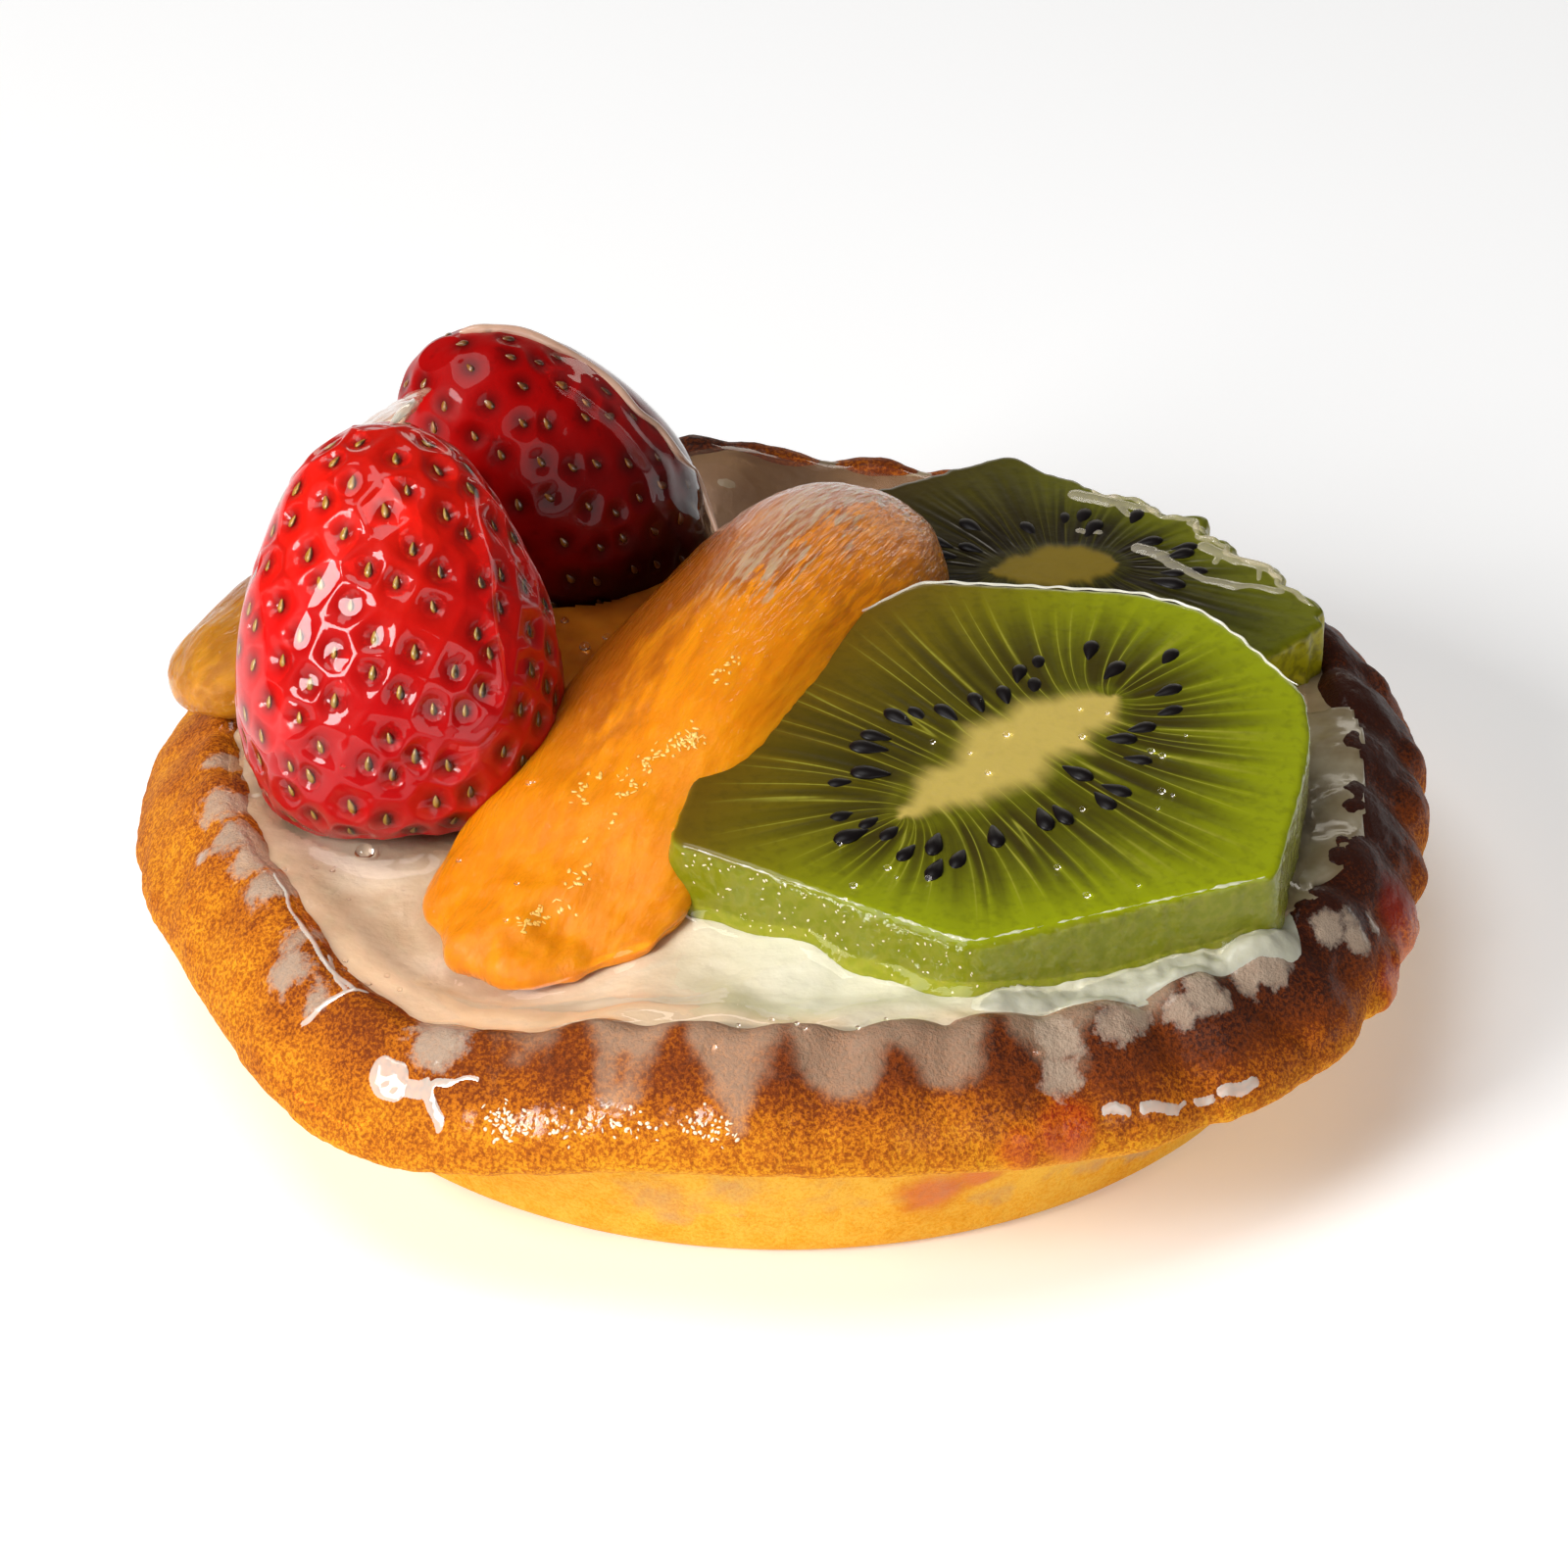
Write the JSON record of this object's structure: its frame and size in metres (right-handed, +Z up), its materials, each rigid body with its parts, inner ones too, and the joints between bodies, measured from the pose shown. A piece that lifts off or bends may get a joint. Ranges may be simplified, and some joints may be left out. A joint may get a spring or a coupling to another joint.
{
  "type": "fruit tart",
  "caption": "Round shortcrust tart with a crimped rim, pastry cream, strawberries, peach wedges and kiwi slices.",
  "frame": {"origin": "centre of the flat underside of the pastry case", "axes": "+Z up, through the middle of the round case; -Y is the front, with the front strawberry at front left and the front kiwi slice at front right"},
  "size_m": [0.0954, 0.0952, 0.0455],
  "materials": {
    "shortcrust": "baked shortcrust pastry, golden below and brown on the crimps",
    "cream": "smooth pastry cream under a clear glaze",
    "strawberry": "glazed bright red strawberry with seeds in dimples",
    "strawberry_dark": "glazed dark red strawberry with seeds in dimples",
    "kiwi": "glazed green kiwi flesh with a pale core and black seeds",
    "kiwi_dark": "glazed olive green kiwi flesh",
    "peach": "glazed orange peach with fine fibres",
    "peach_amber": "glazed amber peach"
  },
  "bodies": {
    "root": {"pastry_case": "shortcrust", "pastry_cream": "cream", "strawberry_front": "strawberry", "strawberry_rear": "strawberry_dark", "kiwi_slice_front": "kiwi", "kiwi_slice_rear": "kiwi_dark", "peach_wedge_long": "peach", "peach_wedge_short": "peach_amber"}
  },
  "joints": []
}
